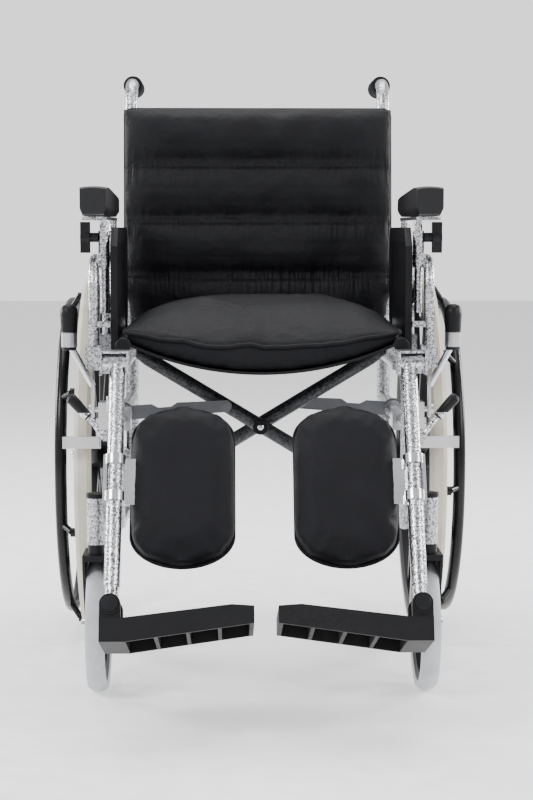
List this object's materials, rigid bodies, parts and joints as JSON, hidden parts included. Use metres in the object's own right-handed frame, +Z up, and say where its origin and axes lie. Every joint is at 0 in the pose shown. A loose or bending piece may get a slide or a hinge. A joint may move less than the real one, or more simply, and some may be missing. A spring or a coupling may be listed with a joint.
{
  "type": "manual wheelchair",
  "caption": "Folding manual wheelchair with elevating legrests, height-adjustable armrests, composite spoked rear wheels with handrims, front casters and black padded upholstery.",
  "frame": {"origin": "on the floor, under the centre of the chair's bounding box", "axes": "+Z up, +X to the seated person's left, -Y the way the chair faces"},
  "size_m": [0.643, 1.0519, 0.9474],
  "materials": {
    "frame_silver": "silver hammertone enamel on steel tube",
    "brace_dark": "dark grey hammertone enamel",
    "link_grey": "mid grey enamel on steel plate",
    "bright_steel": "bright plated steel",
    "satin_steel": "satin zinc-plated steel",
    "brake_plate": "zinc-plated steel plate",
    "lever_plastic": "matt black moulded plastic",
    "grip_rubber": "soft black grip",
    "wheel_composite": "black moulded composite",
    "rear_tyre": "pale beige solid tyre",
    "caster_tyre": "pale grey solid tyre",
    "handrim_black": "black coated hoop",
    "pad_black": "black moulded arm pad",
    "guard_black": "black plastic panel",
    "calf_vinyl": "black vinyl over foam",
    "foot_plastic": "black moulded plastic",
    "vinyl": "black upholstery vinyl",
    "sling_fabric": "black coated nylon"
  },
  "bodies": {
    "right_side": {"side_frame_right": "frame_silver", "push_grip_right": "grip_rubber", "rear_axle_right": "bright_steel", "brake_body_right": "brake_plate", "back_sling": "sling_fabric", "back_cushion": "vinyl"},
    "left_side": {"side_frame_left": "frame_silver", "push_grip_left": "grip_rubber", "rear_axle_left": "bright_steel", "brake_body_left": "brake_plate"},
    "cross_a": {"cross_tube_a": "brace_dark", "cross_bolt": "bright_steel", "seat_sling": "sling_fabric", "seat_cushion": "vinyl"},
    "cross_b": {"cross_tube_b": "brace_dark"},
    "link_left": {"link_left": "link_grey"},
    "rear_wheel_left": {"rear_wheel_left": "wheel_composite", "rear_tyre_left": "rear_tyre", "handrim_left": "handrim_black"},
    "caster_fork_left": {"caster_fork_left": "wheel_composite", "caster_axle_left": "bright_steel"},
    "caster_wheel_left": {"caster_wheel_left": "wheel_composite", "caster_tyre_left": "caster_tyre"},
    "armrest_left": {"arm_frame_left": "satin_steel", "skirt_guard_left": "guard_black"},
    "arm_pad_left": {"arm_post_left": "satin_steel", "arm_pad_left": "pad_black"},
    "arm_knob_left": {"arm_knob_left": "lever_plastic"},
    "brake_lever_left": {"brake_lever_left": "brake_plate"},
    "brake_shoe_left": {"brake_shoe_left": "brake_plate"},
    "hanger_left": {"hanger_left": "satin_steel"},
    "leg_left": {"leg_tube_left": "satin_steel"},
    "release_lever_left": {"release_lever_left": "satin_steel"},
    "calf_left": {"calf_bracket_left": "bright_steel", "calf_pad_left": "calf_vinyl"},
    "foot_tube_left": {"foot_tube_left": "satin_steel"},
    "footplate_left": {"footplate_left": "foot_plastic"},
    "link_right": {"link_right": "link_grey"},
    "rear_wheel_right": {"rear_wheel_right": "wheel_composite", "rear_tyre_right": "rear_tyre", "handrim_right": "handrim_black"},
    "caster_fork_right": {"caster_fork_right": "wheel_composite", "caster_axle_right": "bright_steel"},
    "caster_wheel_right": {"caster_wheel_right": "wheel_composite", "caster_tyre_right": "caster_tyre"},
    "armrest_right": {"arm_frame_right": "satin_steel", "skirt_guard_right": "guard_black"},
    "arm_pad_right": {"arm_post_right": "satin_steel", "arm_pad_right": "pad_black"},
    "arm_knob_right": {"arm_knob_right": "lever_plastic"},
    "brake_lever_right": {"brake_lever_right": "brake_plate"},
    "brake_shoe_right": {"brake_shoe_right": "brake_plate"},
    "hanger_right": {"hanger_right": "satin_steel"},
    "leg_right": {"leg_tube_right": "satin_steel"},
    "release_lever_right": {"release_lever_right": "satin_steel"},
    "calf_right": {"calf_bracket_right": "bright_steel", "calf_pad_right": "calf_vinyl"},
    "foot_tube_right": {"foot_tube_right": "satin_steel"},
    "footplate_right": {"footplate_right": "foot_plastic"}
  },
  "joints": [
    {"name": "fold", "type": "hinge", "parent": "right_side", "child": "cross_a", "pos_m": [-0.213, 0.00696, 0.25], "axis": [0, -1, 0], "range_deg": [0, 45.5], "deforming": ["seat_sling", "seat_cushion", "back_sling", "back_cushion"]},
    {"name": "cross_pivot", "type": "hinge", "parent": "cross_a", "child": "cross_b", "pos_m": [0, -0.00604, 0.378], "axis": [0, -1, 0], "range_deg": [-91, 0]},
    {"name": "brace_pivot_left", "type": "hinge", "parent": "cross_b", "child": "left_side", "pos_m": [0.213, -0.01903, 0.25], "axis": [0, -1, 0], "range_deg": [0, 45.5]},
    {"name": "link_pivot_left", "type": "hinge", "parent": "left_side", "child": "link_left", "pos_m": [0.213, 0.02596, 0.4], "axis": [0, -1, 0], "range_deg": [-70.48, 0]},
    {"name": "rear_wheel_spin_left", "type": "hinge", "parent": "left_side", "child": "rear_wheel_left", "pos_m": [0.275, 0.22096, 0.305], "axis": [1, 0, 0], "continuous": true},
    {"name": "caster_swivel_left", "type": "hinge", "parent": "left_side", "child": "caster_fork_left", "pos_m": [0.243, -0.23403, 0.25], "axis": [0, 0, 1], "continuous": true},
    {"name": "caster_spin_left", "type": "hinge", "parent": "caster_fork_left", "child": "caster_wheel_left", "pos_m": [0.243, -0.18904, 0.1], "axis": [1, 0, 0], "continuous": true},
    {"name": "armrest_lift_left", "type": "slide", "parent": "left_side", "child": "armrest_left", "axis": [0, 0, 1], "range_m": [0, 0.12]},
    {"name": "arm_pad_height_left", "type": "slide", "parent": "armrest_left", "child": "arm_pad_left", "axis": [0, 0, 1], "range_m": [0, 0.06]},
    {"name": "arm_knob_turn_left", "type": "hinge", "parent": "armrest_left", "child": "arm_knob_left", "pos_m": [0.252, -0.12704, 0.673], "axis": [1, 0, 0], "continuous": true},
    {"name": "brake_lever_turn_left", "type": "hinge", "parent": "left_side", "child": "brake_lever_left", "pos_m": [0.252, -0.12404, 0.414], "axis": [1, 0, 0], "range_deg": [0, 50]},
    {"name": "brake_shoe_turn_left", "type": "hinge", "parent": "left_side", "child": "brake_shoe_left", "pos_m": [0.25, -0.11103, 0.394], "axis": [1, 0, 0], "range_deg": [0, 20.1]},
    {"name": "hanger_swing_left", "type": "hinge", "parent": "left_side", "child": "hanger_left", "pos_m": [0.213, -0.25304, 0.38], "axis": [0, 0, 1], "range_deg": [0, 87.14]},
    {"name": "leg_elevation_left", "type": "hinge", "parent": "hanger_left", "child": "leg_left", "pos_m": [0.206, -0.29403, 0.497], "axis": [-1, 0, 0], "range_deg": [0, 60]},
    {"name": "release_lever_turn_left", "type": "hinge", "parent": "hanger_left", "child": "release_lever_left", "pos_m": [0.228, -0.27703, 0.392], "axis": [1, 0, 0], "range_deg": [0, 18], "stiffness_Nm_per_rad": 0.5},
    {"name": "calf_swing_left", "type": "hinge", "parent": "leg_left", "child": "calf_left", "pos_m": [0.206, -0.38304, 0.34285], "axis": [0, 0.5, 0.866], "range_deg": [0, 170]},
    {"name": "footplate_height_left", "type": "slide", "parent": "leg_left", "child": "foot_tube_left", "axis": [0, -0.5, -0.866], "range_m": [0, 0.08]},
    {"name": "footplate_flip_left", "type": "hinge", "parent": "foot_tube_left", "child": "footplate_left", "pos_m": [0.206, -0.47503, 0.1835], "axis": [0, 0.9397, -0.342], "range_deg": [0, 80.2]},
    {"name": "link_pivot_right", "type": "hinge", "parent": "right_side", "child": "link_right", "pos_m": [-0.213, -0.03603, 0.4], "axis": [0, -1, 0], "range_deg": [0, 70.48]},
    {"name": "rear_wheel_spin_right", "type": "hinge", "parent": "right_side", "child": "rear_wheel_right", "pos_m": [-0.275, 0.22096, 0.305], "axis": [1, 0, 0], "continuous": true},
    {"name": "caster_swivel_right", "type": "hinge", "parent": "right_side", "child": "caster_fork_right", "pos_m": [-0.243, -0.23403, 0.25], "axis": [0, 0, 1], "continuous": true},
    {"name": "caster_spin_right", "type": "hinge", "parent": "caster_fork_right", "child": "caster_wheel_right", "pos_m": [-0.243, -0.18904, 0.1], "axis": [1, 0, 0], "continuous": true},
    {"name": "armrest_lift_right", "type": "slide", "parent": "right_side", "child": "armrest_right", "axis": [0, 0, 1], "range_m": [0, 0.12]},
    {"name": "arm_pad_height_right", "type": "slide", "parent": "armrest_right", "child": "arm_pad_right", "axis": [0, 0, 1], "range_m": [0, 0.06]},
    {"name": "arm_knob_turn_right", "type": "hinge", "parent": "armrest_right", "child": "arm_knob_right", "pos_m": [-0.252, -0.12704, 0.673], "axis": [1, 0, 0], "continuous": true},
    {"name": "brake_lever_turn_right", "type": "hinge", "parent": "right_side", "child": "brake_lever_right", "pos_m": [-0.252, -0.12404, 0.414], "axis": [1, 0, 0], "range_deg": [0, 50]},
    {"name": "brake_shoe_turn_right", "type": "hinge", "parent": "right_side", "child": "brake_shoe_right", "pos_m": [-0.25, -0.11103, 0.394], "axis": [1, 0, 0], "range_deg": [0, 20.1]},
    {"name": "hanger_swing_right", "type": "hinge", "parent": "right_side", "child": "hanger_right", "pos_m": [-0.213, -0.25304, 0.38], "axis": [0, 0, -1], "range_deg": [0, 87.14]},
    {"name": "leg_elevation_right", "type": "hinge", "parent": "hanger_right", "child": "leg_right", "pos_m": [-0.206, -0.29403, 0.497], "axis": [-1, 0, 0], "range_deg": [0, 60]},
    {"name": "release_lever_turn_right", "type": "hinge", "parent": "hanger_right", "child": "release_lever_right", "pos_m": [-0.228, -0.27703, 0.392], "axis": [1, 0, 0], "range_deg": [0, 18], "stiffness_Nm_per_rad": 0.5},
    {"name": "calf_swing_right", "type": "hinge", "parent": "leg_right", "child": "calf_right", "pos_m": [-0.206, -0.38304, 0.34285], "axis": [0, -0.5, -0.866], "range_deg": [0, 170]},
    {"name": "footplate_height_right", "type": "slide", "parent": "leg_right", "child": "foot_tube_right", "axis": [0, -0.5, -0.866], "range_m": [0, 0.08]},
    {"name": "footplate_flip_right", "type": "hinge", "parent": "foot_tube_right", "child": "footplate_right", "pos_m": [-0.206, -0.47503, 0.1835], "axis": [0, -0.9397, 0.342], "range_deg": [0, 80.2]}
  ],
  "couplings": [
    {"joint": "cross_pivot", "follows": "fold", "ratio": -2},
    {"joint": "brace_pivot_left", "follows": "fold", "ratio": 1},
    {"joint": "link_pivot_left", "follows": "fold", "ratio": -1.538},
    {"joint": "brake_shoe_turn_left", "follows": "brake_lever_turn_left", "ratio": 0.4},
    {"joint": "hanger_swing_left", "follows": "fold", "ratio": 1.915},
    {"joint": "footplate_flip_left", "follows": "calf_swing_left", "ratio": 0.4706},
    {"joint": "link_pivot_right", "follows": "fold", "ratio": 1.538},
    {"joint": "brake_shoe_turn_right", "follows": "brake_lever_turn_right", "ratio": 0.4},
    {"joint": "hanger_swing_right", "follows": "fold", "ratio": 1.915},
    {"joint": "footplate_flip_right", "follows": "calf_swing_right", "ratio": 0.4706}
  ]
}
